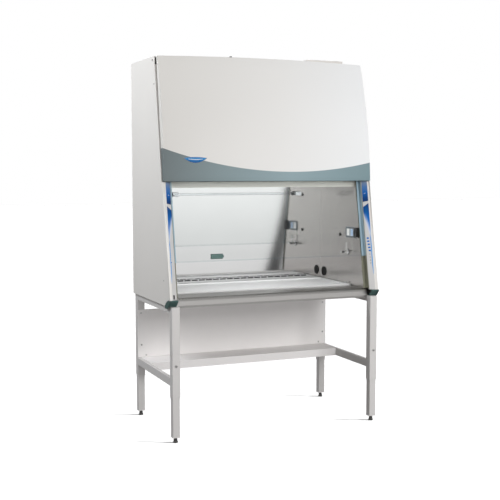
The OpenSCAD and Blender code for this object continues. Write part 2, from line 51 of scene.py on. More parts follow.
HALF_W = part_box("side_panel_right")[1].x
BACK_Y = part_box("rear_panel")[1].y
NOSE_Y = -BACK_Y
BASE_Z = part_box("rear_panel")[0].z
TOP_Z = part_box("roof_panel")[1].z
NOSE_Z = BASE_Z + 39 * MM
RIM_Z = BASE_Z + 57 * MM
OPEN_Z = BASE_Z + 756 * MM
_slope = JOINTS["sash_slide"]["axis"]
LEAN = math.atan2(_slope[1], _slope[2])
PRESS = Vector(JOINTS["key_blower_press"]["axis"]).normalized()
FACE_TURN = math.asin(PRESS.x)
INNER_X = 655 * MM
INNER_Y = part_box("inner_back_wall")[0].y
LEG_X = HALF_W - 38 * MM
LEG_Y = BACK_Y - 25 * MM
TUBE_Z = 282 * MM
SHELF_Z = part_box("stand_back_panel")[0].z - 2 * MM
OUTLET = Vector((INNER_X, -129 * MM, BASE_Z + 408 * MM))
VALVE = Vector((INNER_X, -97 * MM, BASE_Z + 273 * MM))
FAN = Vector((0, 105 * MM, BASE_Z + 1052 * MM))


def front_y(z):
    """Y of the sloped front plane at a height."""
    return NOSE_Y + (z - NOSE_Z) * math.tan(LEAN)


def behind(x, z, depth):
    """A point at a depth behind the sloped front plane."""
    return Vector((x, front_y(z) + depth / math.cos(LEAN), z))


# Each column's turned face passes this far behind the front plane at this distance from the centre
FACE_EDGE_D = 4 * MM
FACE_EDGE_X = 713.1 * MM


def on_face(side, x, z, lift=0.0):
    """A point on a column's turned face; side is 1 on the right and -1 on the left."""
    depth = FACE_EDGE_D + (FACE_EDGE_X - x) * math.tan(FACE_TURN)
    p = behind(x, z, depth) - PRESS * lift
    return Vector((p.x * side, p.y, p.z))


# ---- shader helpers ----

class Shader:
    """One node material, built step by step."""

    def __init__(self, name, colour, rough, metal=0.0):
        self.material = bpy.data.materials.new(name)
        self.material.use_nodes = True
        self.tree = self.material.node_tree
        self.bsdf = self.tree.nodes["Principled BSDF"]
        self.put("Base Color", (*colour, 1))
        self.put("Roughness", rough)
        self.put("Metallic", metal)
        self.coords = self.add("ShaderNodeTexCoord").outputs["Object"]

    def add(self, kind, **settings):
        node = self.tree.nodes.new(kind)
        for key, value in settings.items():
            setattr(node, key, value)
        return node

    def put(self, name, value):
        """Sets an input of the surface to a number, a colour or another node's output."""
        if isinstance(value, bpy.types.NodeSocket):
            self.tree.links.new(value, self.bsdf.inputs[name])
        else:
            self.bsdf.inputs[name].default_value = value

    def link(self, source, target):
        if isinstance(source, bpy.types.NodeSocket):
            self.tree.links.new(source, target)
        else:
            target.default_value = source

    def stretched(self, scale):
        node = self.add("ShaderNodeMapping")
        node.inputs["Scale"].default_value = scale
        self.link(self.coords, node.inputs["Vector"])
        return node.outputs["Vector"]

    def noise(self, scale, detail=3.0, stretch=None, rough=0.5):
        node = self.add("ShaderNodeTexNoise")
        node.inputs["Scale"].default_value = scale
        node.inputs["Detail"].default_value = detail
        node.inputs["Roughness"].default_value = rough
        self.link(self.stretched(stretch) if stretch else self.coords, node.inputs["Vector"])
        return node.outputs["Fac"]

    def cells(self, scale, feature="F1", stretch=None, out="Distance"):
        node = self.add("ShaderNodeTexVoronoi", feature=feature)
        node.inputs["Scale"].default_value = scale
        self.link(self.stretched(stretch) if stretch else self.coords, node.inputs["Vector"])
        return node.outputs[out]

    def axis(self, name):
        """One coordinate of the piece, in metres."""
        node = self.add("ShaderNodeSeparateXYZ")
        self.link(self.coords, node.inputs[0])
        return node.outputs[name]

    def math(self, operation, a, b=0.0, c=0.0):
        node = self.add("ShaderNodeMath", operation=operation)
        for i, value in enumerate((a, b, c)):
            self.link(value, node.inputs[i])
        return node.outputs[0]

    def spread(self, fac, low, high, from_low=0.0, from_high=1.0):
        """Maps a number from one range onto another, clamped."""
        node = self.add("ShaderNodeMapRange")
        for name, value in (("From Min", from_low), ("From Max", from_high),
                            ("To Min", low), ("To Max", high)):
            node.inputs[name].default_value = value
        self.link(fac, node.inputs["Value"])
        return node.outputs["Result"]

    def ramp(self, fac, stops):
        node = self.add("ShaderNodeValToRGB")
        band = node.color_ramp
        band.elements[0].position, band.elements[1].position = stops[0][0], stops[-1][0]
        for place, colour in stops[1:-1]:
            band.elements.new(place)
        for element, (place, colour) in zip(band.elements, stops):
            element.position = place
            element.color = (*colour, 1)
        self.link(fac, node.inputs["Fac"])
        return node.outputs["Color"]

    def mix(self, fac, a, b, blend="MIX"):
        node = self.add("ShaderNodeMix", data_type="RGBA", blend_type=blend)
        self.link(fac, node.inputs["Factor"])
        for value, i in ((a, 6), (b, 7)):
            self.link((*value, 1) if isinstance(value, tuple) else value, node.inputs[i])
        return node.outputs[2]

    def tint(self, colour, fac, amount):
        """The colour, darkened and lightened by a share of a texture."""
        node = self.add("ShaderNodeHueSaturation")
        self.link((*colour, 1) if isinstance(colour, tuple) else colour, node.inputs["Color"])
        self.link(self.spread(fac, 1 - amount, 1 + amount), node.inputs["Value"])
        return node.outputs["Color"]

    def bump(self, height, strength, distance=0.0005, normal=None):
        node = self.add("ShaderNodeBump")
        node.inputs["Strength"].default_value = strength
        node.inputs["Distance"].default_value = distance
        self.link(height, node.inputs["Height"])
        if normal is not None:
            self.link(normal, node.inputs["Normal"])
        return node.outputs["Normal"]

    def edge_mask(self, radius):
        """1 along the edges of the piece, 0 on its flats."""
        bevel = self.add("ShaderNodeBevel", samples=4)
        bevel.inputs["Radius"].default_value = radius
        geometry = self.add("ShaderNodeNewGeometry")
        dot = self.add("ShaderNodeVectorMath", operation="DOT_PRODUCT")
        self.link(bevel.outputs[0], dot.inputs[0])
        self.link(geometry.outputs["Normal"], dot.inputs[1])
        return self.spread(dot.outputs["Value"], 1.0, 0.0, 0.75, 1.0)


def powder_coat(name, colour, rough=0.40, worn=(0.66, 0.65, 0.63)):
    """Powder-coated sheet: fine orange peel, slow shade changes, dust and edge wear."""
    s = Shader(name, colour, rough)
    peel = s.noise(420, 2)
    cloud = s.noise(2.2, 4)
    dust = s.noise(16, 6, rough=0.7)
    body = s.tint(s.tint(colour, cloud, 0.035), dust, 0.02)
    edge = s.math("MULTIPLY", s.edge_mask(1.6 * MM), s.spread(s.noise(60, 4), 0.0, 0.8, 0.42, 0.7))
    s.put("Base Color", s.mix(edge, body, worn))
    s.put("Roughness", s.spread(dust, rough - 0.07, rough + 0.10))
    s.put("Specular IOR Level", 0.45)
    s.put("Normal", s.bump(peel, 0.12, 0.0002))
    return s.material


def brushed_steel(name, colour=(0.62, 0.605, 0.585), rough=0.22, along="x", grain=1.0, metal=1.0):
    """Brushed stainless sheet: long fine scratches along one axis, with wiping marks."""
    s = Shader(name, colour, rough, metal)
    stretch = {"x": (2, 260, 260), "y": (260, 2, 260), "z": (260, 260, 2)}[along]
    lines = s.noise(3.0, 6, stretch, 0.65)
    wipe = s.noise(3.5, 5, rough=0.6)
    s.put("Base Color", s.tint(s.tint(colour, lines, 0.05 * grain), wipe, 0.03))
    s.put("Roughness", s.math("ADD", s.spread(lines, rough * 0.8, rough * 1.25),
                              s.spread(wipe, -0.1 * rough, 0.15 * rough)))
    s.put("Anisotropic", 0.4)
    s.put("Normal", s.bump(lines, 0.10 * grain, 0.0002))
    return s.material


def moulded(name, colour, rough=0.45, grain=900, strength=0.12):
    """Moulded plastic: a fine sparked texture and a slow change of shade."""
    s = Shader(name, colour, rough)
    spark = s.noise(grain, 3)
    cloud = s.noise(9, 3)
    s.put("Base Color", s.tint(colour, cloud, 0.05))
    s.put("Roughness", s.spread(cloud, rough - 0.06, rough + 0.08))
    s.put("Normal", s.bump(spark, strength, 0.0002))
    return s.material


def turned_metal(name, colour, rough=0.25, around="x"):
    """Turned or plated metal, with fine rings and a few handling marks."""
    s = Shader(name, colour, rough, 1.0)
    stretch = {"x": (500, 6, 6), "y": (6, 500, 6), "z": (6, 6, 500)}[around]
    rings = s.noise(2.0, 4, stretch)
    marks = s.noise(120, 4)
    s.put("Base Color", s.tint(colour, marks, 0.08))
    s.put("Roughness", s.spread(marks, rough - 0.06, rough + 0.12))
    s.put("Normal", s.bump(rings, 0.08, 0.0001))
    return s.material


def zinc_sheet(name):
    """Hot-dip zinc with its spangle."""
    s = Shader(name, (0.56, 0.58, 0.59), 0.38, 1.0)
    spangle = s.cells(55, out="Color")
    s.put("Base Color", s.mix(0.25, (0.56, 0.58, 0.59), spangle, "OVERLAY"))
    s.put("Roughness", s.spread(s.cells(55), 0.3, 0.5, 0.0, 0.6))
    s.put("Normal", s.bump(s.noise(300, 3), 0.05, 0.0002))
    return s.material


def cast_metal(name, colour=(0.06, 0.06, 0.06)):
    s = Shader(name, colour, 0.7, 0.4)
    skin = s.noise(260, 5)
    s.put("Base Color", s.tint(colour, skin, 0.25))
    s.put("Normal", s.bump(skin, 0.5, 0.0006))
    return s.material


def filter_media(name):
    """White pleated media in a metal frame: fibres."""
    s = Shader(name, (0.83, 0.83, 0.80), 0.85)
    fibres = s.noise(500, 4, (1, 6, 1))
    s.put("Base Color", s.tint((0.83, 0.83, 0.80), fibres, 0.06))
    s.put("Normal", s.bump(fibres, 0.3, 0.0004))
    return s.material


def pane(name, tint, gloss_rough=0.02, reach=1.0):
    """Thin clear sheet: see-through, with a reflection that grows towards grazing angles."""
    s = Shader(name, tint, gloss_rough)
    clear = s.add("ShaderNodeBsdfTransparent")
    streaks = s.noise(1.6, 4, (1, 1, 4))
    s.link(s.mix(s.spread(streaks, 0, 0.5), tint, tuple(0.985 * c for c in tint)), clear.inputs["Color"])
    gloss = s.add("ShaderNodeBsdfGlossy")
    gloss.inputs["Roughness"].default_value = gloss_rough
    s.link(s.bump(s.noise(3, 2), 0.02, 0.001), gloss.inputs["Normal"])
    fresnel = s.add("ShaderNodeFresnel")
    fresnel.inputs["IOR"].default_value = 1.5
    both = s.add("ShaderNodeMixShader")
    s.link(s.math("MULTIPLY", fresnel.outputs[0], reach), both.inputs[0])
    s.link(clear.outputs[0], both.inputs[1])
    s.link(gloss.outputs[0], both.inputs[2])
    s.link(both.outputs[0], s.tree.nodes["Material Output"].inputs["Surface"])
    return s.material


def outlet_paint(name):
    """Outlet: a darker satin plate with two light receptacle faces."""
    s = Shader(name, (0.3, 0.3, 0.3), 0.3)
    up = s.math("ABSOLUTE", s.math("SUBTRACT", s.axis("Z"), OUTLET.z))
    high = s.spread(up, 1.0, 0.0, 0.0225, 0.0235)
    off = s.math("SUBTRACT", s.axis("Y"), OUTLET.y)
    aside = s.math("ABSOLUTE", s.math("SUBTRACT", s.math("ABSOLUTE", off), 0.026))
    near = s.spread(aside, 1.0, 0.0, 0.0185, 0.0195)
    face = s.math("MULTIPLY", high, near)
    front = s.spread(s.axis("X"), 1.0, 0.0, INNER_X - 1 * MM, INNER_X)
    light = s.mix(s.spread(off, 0.0, 1.0, -0.002, 0.002), (0.42, 0.58, 0.80), (0.86, 0.86, 0.84))
    plate = s.tint((0.13, 0.15, 0.17), s.noise(90, 3), 0.1)
    s.put("Base Color", s.mix(s.math("MULTIPLY", face, front), plate, light))
    s.put("Roughness", s.spread(s.noise(40, 3), 0.24, 0.36))
    s.put("Normal", s.bump(s.noise(1200, 2), 0.05, 0.0002))
    return s.material


def sash_edging(name):
    """Edge guards of the sash: grey-green up the sides, clear along the bottom."""
    s = Shader(name, (0.115, 0.19, 0.205), 0.38)
    clear = s.add("ShaderNodeBsdfTransparent")
    clear.inputs["Color"].default_value = (0.97, 0.98, 0.98, 1)
    side = s.spread(s.math("ABSOLUTE", s.axis("X")), 0.0, 1.0, 0.6495, 0.6500)
    s.put("Base Color", s.tint((0.31, 0.43, 0.50), s.noise(9, 3), 0.05))
    s.put("Normal", s.bump(s.noise(900, 3), 0.12, 0.0002))
    both = s.add("ShaderNodeMixShader")
    s.link(s.spread(side, 0.04, 1.0), both.inputs[0])
    s.link(clear.outputs[0], both.inputs[1])
    s.link(s.bsdf.outputs[0], both.inputs[2])
    s.link(both.outputs[0], s.tree.nodes["Material Output"].inputs["Surface"])
    return s.material


def lit_tube(name, colour, strength):
    """Phosphor-coated tube, darker at its two ends."""
    s = Shader(name, colour, 0.3)
    ends = s.math("ABSOLUTE", s.axis("X"))
    s.put("Base Color", s.tint(colour, s.noise(40, 2), 0.03))
    s.put("Emission Color", (*colour, 1))
    s.put("Emission Strength", s.spread(ends, strength, 0.0, 0.54, 0.585))
    s.put("Normal", s.bump(s.noise(200, 2), 0.04, 0.0001))
    return s.material


# The grey-green band on the front panel ends at a wide arc
BAND_R = 2.700
BAND_X = 0.150
BAND_LOW = 1.656


def front_cover_paint(name):
    """Front cover: pearl coat above a curved band, both with orange peel; both colours lighten from left to right
    as painted light, and the band has a broad painted highlight right of centre.
    """
    s = Shader(name, (0.8, 0.79, 0.77), 0.32)
    x, z = s.axis("X"), s.axis("Z")
    dx = s.math("SUBTRACT", x, BAND_X)
    root = s.math("SQRT", s.math("SUBTRACT", BAND_R ** 2, s.math("MULTIPLY", dx, dx)))
    edge = s.math("SUBTRACT", BAND_LOW + BAND_R, root)
    inside = s.spread(s.math("SUBTRACT", edge, z), 0.0, 1.0, -0.0006, 0.0006)
    cloud = s.noise(2.0, 4)
    fleck = s.noise(700, 2)
    # Painted light: the coat gets lighter and cooler from left to right, where the lamps fall on it. The band is
    # real two-tone paint, but its rise to a peak right of centre is a painted highlight.
    cover = s.ramp(s.spread(x, 0.0, 1.0, -0.72, 0.72),
                   [(0.0, (0.72, 0.70, 0.67)), (0.55, (0.78, 0.77, 0.755)), (1.0, (0.83, 0.84, 0.85))])
    band = s.ramp(s.spread(x, 0.0, 1.0, -0.72, 0.72),
                  [(0.0, (0.155, 0.185, 0.192)), (0.25, (0.21, 0.27, 0.285)), (0.6, (0.27, 0.36, 0.39)),
                   (1.0, (0.19, 0.275, 0.30))])
    body = s.mix(inside, s.tint(cover, cloud, 0.02), s.tint(band, fleck, 0.05))
    s.put("Base Color", body)
    s.put("Roughness", s.math("ADD", s.spread(cloud, 0.27, 0.36), s.math("MULTIPLY", inside, 0.06)))
    s.put("Normal", s.bump(s.noise(420, 2), 0.08, 0.0002))
    return s.material


def rgb(r, g, b, light=0.86):
    """A linear colour from 0..255 values as seen in shade of the given strength."""
    return tuple(min(((c / 255 + 0.055) / 1.055) ** 2.4 / light, 0.9) for c in (r, g, b))


def printed(name, shade_of, rough=0.28):
    """Printed film with a satin face; shade_of builds its colour."""
    s = Shader(name, (0.1, 0.2, 0.4), rough)
    s.put("Base Color", s.tint(shade_of(s), s.noise(1400, 2), 0.04))
    s.put("Roughness", s.spread(s.noise(30, 3), rough - 0.04, rough + 0.08))
    s.put("Specular IOR Level", 0.25)
    s.put("Normal", s.bump(s.noise(900, 2), 0.05, 0.0001))
    return s.material


def top_film_shade(s):
    """Grey-blue above, clear blue in the middle and navy at the lower end."""
    return s.ramp(s.spread(s.axis("Z"), 0.0, 1.0, 1.455, 1.594),
                  [(0.0, rgb(8, 42, 88)), (0.22, rgb(8, 62, 122)), (0.45, rgb(22, 88, 158)),
                   (0.72, rgb(70, 108, 160)), (1.0, rgb(118, 132, 150))])


def sweep_film_shade(s):
    """Navy above, light blue in the tail, and pale lilac towards the inner edge of the sweep."""
    z = s.axis("Z")
    deep = s.ramp(s.spread(z, 0.0, 1.0, 0.98, 1.448),
                  [(0.0, rgb(80, 146, 205)), (0.45, rgb(74, 142, 204)), (0.60, rgb(48, 122, 192)),
                   (0.80, rgb(14, 92, 166)), (0.90, rgb(8, 74, 138)), (1.0, rgb(6, 56, 108))])
    x = s.math("ABSOLUTE", s.axis("X"))
    # distance from the sweep's inner edge, measured square to it
    off = s.math("ADD", s.math("MULTIPLY", s.math("SUBTRACT", x, 671.5 * MM), 0.982),
                 s.math("MULTIPLY", s.math("SUBTRACT", z, 1.382), 0.186))
    pale = s.math("MULTIPLY", s.spread(off, 1.0, 0.0, 0.0, 15 * MM), s.spread(z, 1.0, 0.0, 1.315, 1.385))
    pale = s.math("MULTIPLY", pale, s.spread(z, 0.0, 1.0, 1.215, 1.245))
    return s.mix(pale, deep, rgb(186, 194, 212))


def badge_shade(s):
    """Deep blue towards the lower edge of the badge, lighter above."""
    return s.ramp(s.spread(s.axis("Z"), 0.0, 1.0, 1.710, 1.747),
                  [(0.0, rgb(28, 84, 140)), (0.35, rgb(30, 92, 150)), (0.7, rgb(60, 130, 185)),
                   (1.0, rgb(40, 105, 160))])


def diffuser_sheet(name):
    """Painted sheet with a fine grid of round holes, drawn as near-black dots with a bump; the black is painted
    shade for the dark space seen through them.
    """
    s = Shader(name, (0.72, 0.71, 0.66), 0.45)
    grid = []
    for axis_name in "XY":
        wave = s.math("PINGPONG", s.axis(axis_name), 2.5 * MM)
        grid.append(s.math("POWER", s.math("SUBTRACT", wave, 2.5 * MM), 2.0))
    hole = s.spread(s.math("SQRT", s.math("ADD", *grid)), 1.0, 0.0, 1.3 * MM, 1.6 * MM)
    flat = s.spread(s.axis("Z"), 1.0, 0.0, BASE_Z + 0.7235, BASE_Z + 0.725)
    hole_shade_mask = s.math("MULTIPLY", hole, flat)
    # Painted shade: near-black where the holes are.
    s.put("Base Color", s.mix(hole_shade_mask, s.tint((0.72, 0.71, 0.66), s.noise(3, 3), 0.03), (0.03, 0.03, 0.03)))
    s.put("Normal", s.bump(s.math("SUBTRACT", 1.0, hole_shade_mask), 0.6, 0.0006))
    return s.material


def plate_paint(name):
    """Anodised information plate: a darker border inside a satin field."""
    s = Shader(name, (0.088, 0.148, 0.138), 0.35, 0.3)
    field = s.tint((0.088, 0.148, 0.138), s.noise(300, 3, (1, 30, 30)), 0.12)
    dx = s.math("ABSOLUTE", s.math("SUBTRACT", s.axis("X"), -0.1445))
    dz = s.math("ABSOLUTE", s.math("SUBTRACT", s.axis("Z"), BASE_Z + 0.234))
    rim = s.math("MAXIMUM", s.spread(dx, 0.0, 1.0, 0.045, 0.0455), s.spread(dz, 0.0, 1.0, 0.0145, 0.015))
    s.put("Base Color", s.mix(rim, field, (0.03, 0.05, 0.05)))
    s.put("Normal", s.bump(rim, 0.4, 0.0003))
    return s.material


def make_materials():
    """One finish for each material slot of the record."""
    return {
        "white_paint": powder_coat("white_coat", (0.76, 0.735, 0.705)),
        "front_cover": front_cover_paint("cover_coat"),
        "inner_paint": diffuser_sheet("diffuser_coat"),
        "rail_paint": powder_coat("rail_coat", (0.72, 0.70, 0.64), 0.5),
        "grey_trim": powder_coat("grey_coat", (0.50, 0.49, 0.47)),
        "stainless": brushed_steel("steel_along"),
        "stainless_upright": brushed_steel("steel_upright", (0.68, 0.68, 0.68), 0.05, "z", 0.3),
        "stainless_front": brushed_steel("steel_front", (0.60, 0.585, 0.57), 0.30, "x", 0.4, 1.0),
        "stainless_tray": brushed_steel("steel_tray", (0.83, 0.83, 0.83), 0.38, "x", 0.6, 0.15),
        "stainless_wall": brushed_steel("steel_side", (0.62, 0.595, 0.575), 0.24, "z"),
        "galvanised": zinc_sheet("zinc"),
        "filter_frame": filter_media("media"),
        "motor_grey": powder_coat("motor_coat", (0.10, 0.105, 0.11), 0.5),
        "cast_weight": cast_metal("iron"),
        "bright_steel": turned_metal("bright_steel", (0.60, 0.59, 0.58)),
        "dark_steel": turned_metal("black_steel", (0.10, 0.095, 0.09), 0.4),
        "chrome": turned_metal("chrome", (0.86, 0.86, 0.87), 0.07),
        "lamp_glass": lit_tube("tube", (0.92, 0.95, 1.0), 2.0),
        "uv_glass": pane("uv_glass", (0.975, 0.98, 0.985), 0.03, 0.25),
        "clear_glass": pane("sash_pane", (0.985, 0.992, 0.99), 0.02, 0.35),
        "sash_edging": sash_edging("sash_edging"),
        "teal_trim": moulded("teal", (0.115, 0.19, 0.205), 0.38),
        "olive_channel": moulded("olive", (0.20, 0.20, 0.15), 0.45),
        "column_grey": moulded("column", (0.59, 0.58, 0.575), 0.42),
        "key_blue": moulded("key_blue", (0.012, 0.155, 0.54), 0.25, 1500, 0.04),
        "black_plastic": moulded("black", (0.018, 0.018, 0.02), 0.4),
        # Near-black; on the pieces in the lip holes and behind the back-wall slots it is painted shade.
        "dark_mesh": moulded("dark_mesh", (0.012, 0.012, 0.012), 0.8, 2600, 0.5),
        "cap_green": moulded("cap", (0.042, 0.095, 0.088), 0.35),
        "black_rubber": moulded("rubber", (0.014, 0.014, 0.014), 0.7, 600, 0.3),
        "outlet_face": outlet_paint("outlet_face"),
        "outlet_white": moulded("outlet_white", (0.74, 0.76, 0.78), 0.3, 1200, 0.05),
        "lamp_grey": moulded("lamp_grey", (0.12, 0.12, 0.13), 0.3, 1500, 0.04),
        "film_top": printed("film_top", top_film_shade),
        "film_sweep": printed("film_sweep", sweep_film_shade),
        "badge_blue": printed("badge_blue", badge_shade, 0.15),
        "plate_teal": plate_paint("plate"),
        "stand_paint": powder_coat("stand_coat", (0.655, 0.635, 0.625), 0.42),
        "stand_panel": powder_coat("panel_coat", (0.88, 0.855, 0.845), 0.42),
        "foot_steel": turned_metal("foot_zinc", (0.22, 0.215, 0.21), 0.4, "z"),
    }


MATERIALS = make_materials()
NODE_FINISH = {
    "front_panel": "front_cover", "inner_back_wall": "stainless_upright", "work_surface": "stainless_tray",
    "front_grille": "stainless_front",
    "sash_trim": "sash_edging", "outlet": "outlet_face", "uv_sockets": "outlet_white",
    "stand_back_panel": "stand_panel", "shelf": "stand_panel",
    "inner_wall_left": "stainless_wall", "inner_wall_right": "stainless_wall",
    "plenum_panel": "rail_paint", "lamp_housing": "rail_paint", "uv_lamp": "uv_glass",
}


def paint_frame():
    """Gives every CAD node the finish of its slot."""
    slots = {p["node"]: p["material_slot"] for p in frame["record"]["subparts"]}
    for name, node in NODES.items():
        finish = MATERIALS[NODE_FINISH.get(name, slots[name])]
        node.data.materials.clear()
        node.data.materials.append(finish)


def soften_edges():
    """Rounds the folded and cut edges of the CAD sheet parts."""
    widths = {"stand_frame": 3.0, "shelf": 1.2, "front_panel": 2.0, "side_panel_left": 0.9,
              "side_panel_right": 0.9, "junction_box": 1.5, "work_surface": 1.2, "front_grille": 0.5,
              "column_left": 0.6, "column_right": 0.6, "corner_caps": 0.8, "outlet": 1.0,
              "service_socket": 0.6, "sash_trim": 0.5, "blower_housing": 1.0, "side_cover": 1.0}
    widths.update({"inner_leg_" + q: 2.0 for q in ("fl", "fr", "rl", "rr")})
    widths.update({"key_" + k: 0.9 for k in ("blower", "light", "uv", "outlet", "alarm")})
    for name, width in widths.items():
        node = NODES[name]
        weld = node.modifiers.new("weld", "WELD")
        weld.merge_threshold = 0.00001
        bevel = node.modifiers.new("bevel", "BEVEL")
        bevel.width = width * MM
        bevel.segments = 3
        bevel.limit_method = "ANGLE"
        bevel.angle_limit = math.radians(40)
        bevel.harden_normals = False


# ---- mesh helpers ----

def make_piece(name, points, faces, body, finish, smooth=False):
    mesh = bpy.data.meshes.new(name)
    mesh.from_pydata([tuple(p) for p in points], [], faces)
    mesh.update()
    mesh.polygons.foreach_set("use_smooth", [smooth] * len(mesh.polygons))
    piece = bpy.data.objects.new(name, mesh)
    bpy.context.scene.collection.objects.link(piece)
    mesh.materials.append(MATERIALS[finish] if isinstance(finish, str) else finish)
    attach(piece, body)
    return piece


class Mesh:
    """Points and faces gathered from several simple closed shapes."""

    def __init__(self):
        self.points, self.faces = [], []

    def add(self, points, faces):
        start = len(self.points)
        self.points += [Vector(p) for p in points]
        self.faces += [[start + i for i in f] for f in faces]

    def loft(self, rings, loop=False):
        """Joins rings of equal length, one after another, into a closed skin."""
        n = len(rings[0])
        faces = []
        for r in range(len(rings) - (0 if loop else 1)):
            for i in range(n):
                j = (i + 1) % n
                k = (r + 1) % len(rings)
                faces.append([r * n + i, r * n + j, k * n + j, k * n + i])
        if not loop:
            faces.append(list(range(n))[::-1])
            faces.append([(len(rings) - 1) * n + i for i in range(n)])
        self.add([p for ring in rings for p in ring], faces)

    def turned(self, origin, axis, profile, sides=24):
        """A profile of (radius, height) pairs turned about an axis."""
        axis = Vector(axis).normalized()
        u = axis.orthogonal().normalized()
        v = axis.cross(u)
        origin = Vector(origin)
        rings = []
        for radius, height in profile:
            rings.append([origin + axis * height + (u * math.cos(t) + v * math.sin(t)) * radius
                          for t in (2 * math.pi * i / sides for i in range(sides))])
        self.loft(rings)

    def tube(self, path, radius, sides=10):
        """A round cord along a path."""
        path = [Vector(p) for p in path]
        rings = []
        u = None
        for i, p in enumerate(path):
            ahead = path[min(i + 1, len(path) - 1)] - path[max(i - 1, 0)]
            ahead.normalize()
            if u is None:
                u = ahead.orthogonal().normalized()
            u = (u - ahead * u.dot(ahead)).normalized()
            v = ahead.cross(u)
            rings.append([p + (u * math.cos(t) + v * math.sin(t)) * radius
                          for t in (2 * math.pi * k / sides for k in range(sides))])
        self.loft(rings)

    def block(self, low, high):
        """A box between two corners."""
        (x0, y0, z0), (x1, y1, z1) = low, high
        self.loft([[(x0, y0, z), (x1, y0, z), (x1, y1, z), (x0, y1, z)] for z in (z0, z1)])

    def piece(self, name, body, finish, slot, smooth=False):
        made = make_piece(name, self.points, self.faces, body, finish, smooth)
        bm = bmesh.new()
        bm.from_mesh(made.data)
        bmesh.ops.recalc_face_normals(bm, faces=bm.faces)
        bm.to_mesh(made.data)
        bm.free()
        return made


paint_frame()
soften_edges()


# ---- printed films and marks on the columns ----

def curve(points, steps=6):
    """A smooth line through the given points."""
    points = [Vector(p) for p in points]
    last = len(points) - 1
    line = []
    for i in range(last):
        a, b, c, d = points[max(i - 1, 0)], points[i], points[i + 1], points[min(i + 2, last)]
        for t in (k / steps for k in range(steps)):
            line.append(0.5 * (2 * b + (c - a) * t + (2 * a - 5 * b + 4 * c - d) * t ** 2
                               + (3 * b - a - 3 * c + d) * t ** 3))
    return line + [points[last]]


FILM_T = 0.3 * MM
# Inner and outer edges of the printed shapes: distance from the centre and height, in mm
FILM_TOP = ([(671.5, 1593.5), (671.5, 1520), (671.5, 1455)],
            [(703.4, 1593.5), (703.4, 1524), (703.4, 1463)])
FILM_SWEEP = ([(671.5, 1422), (671.5, 1382), (681, 1322), (696.5, 1237), (698.0, 1150), (697.2, 1075),
               (698.4, 1020), (701.5, 981)],
              [(703.4, 1448), (703.4, 1400), (703.4, 1322), (703.4, 1237), (703.4, 1150), (703.0, 1075),
               (702.8, 1020), (702.6, 981)])


def make_film(name, edges, side, finish):
    mesh = Mesh()
    inner, outer = (curve(edge) for edge in edges)
    rings = []
    for a, b in zip(inner, outer):
        rings.append([on_face(side, p.x * MM, p.y * MM, lift)
                      for p, lift in ((a, -FILM_T), (b, -FILM_T), (b, FILM_T), (a, FILM_T))])
    mesh.loft(rings)
    mesh.piece(name, "cabinet", finish, "column_grey")


def face_axis(side):
    return Vector((-PRESS.x * side, -PRESS.y, -PRESS.z))


def make_face_marks():
    """Small lamps and raised dots beside the keys, and one lamp on the left column."""
    for name, side, finish, slot, spots in (
            ("film_mark_right", 1, "outlet_white", "outlet_white", [(684, 1512, 2.6), (690, 1514, 1.6)]),
            ("film_mark_left", -1, "outlet_white", "outlet_white", [(684, 1512, 2.6), (690, 1514, 1.6)]),
            ("status_lamps", 1, "lamp_grey", "column_grey",
             [(688.5, 1112, 3.0), (689.0, 1092, 3.0), (689.5, 1072, 3.0), (690.0, 1053, 3.0)]),
            ("left_lamp", -1, "key_blue", "key_blue", [(696, 1107, 3.6)])):
        mesh = Mesh()
        for x, z, r in spots:
            mesh.turned(on_face(side, x * MM, z * MM), face_axis(side),
                        [(r * MM, -0.2 * MM), (r * MM, 0.4 * MM), (0.75 * r * MM, 0.9 * MM),
                         (0.3 * r * MM, 1.1 * MM)])
        mesh.piece(name, "cabinet", finish, slot, smooth=False)


# ---- front cover ----

COVER_LOW = OPEN_Z + 3 * MM
COVER_MID = (COVER_LOW + TOP_Z) / 2
COVER_BULGE = 30 * MM
COVER_R = (((TOP_Z - COVER_LOW) / math.cos(LEAN) / 2) ** 2 + COVER_BULGE ** 2) / (2 * COVER_BULGE)
COVER_REACH = COVER_R - COVER_BULGE
COVER_CENTRE = Vector((0, front_y(COVER_MID) - 8 * MM / math.cos(LEAN) + COVER_REACH * math.cos(LEAN),
                       COVER_MID - COVER_REACH * math.sin(LEAN)))


def on_cover(x, z, lift=0.0):
    """A point on the bowed face of the front cover."""
    y = COVER_CENTRE.y - math.sqrt(COVER_R ** 2 - (z - COVER_CENTRE.z) ** 2)
    out = (Vector((0, y, z)) - COVER_CENTRE).normalized()
    return Vector((x, y, z)) + out * lift


BADGE_X = -512.5 * MM
BADGE_Z = 1741 * MM
BADGE_HALF = 78.5 * MM
BADGE_DROP = 31 * MM
BADGE_RISE = 6 * MM


def lens(scale, lift, count=28):
    """The badge's outline: a flat arc above, a deep one below, pointed at both ends."""
    ring = []
    middle = BADGE_Z - 0.4 * BADGE_DROP
    for i in range(2 * count):
        t = -1 + 2 * i / count if i < count else 1 - 2 * (i - count) / count
        bend = (-BADGE_DROP if i < count else BADGE_RISE) * (1 - t * t)
        z = middle + (BADGE_Z + bend - middle) * scale
        ring.append(on_cover(BADGE_X + BADGE_HALF * t * scale, z, lift))
    return ring


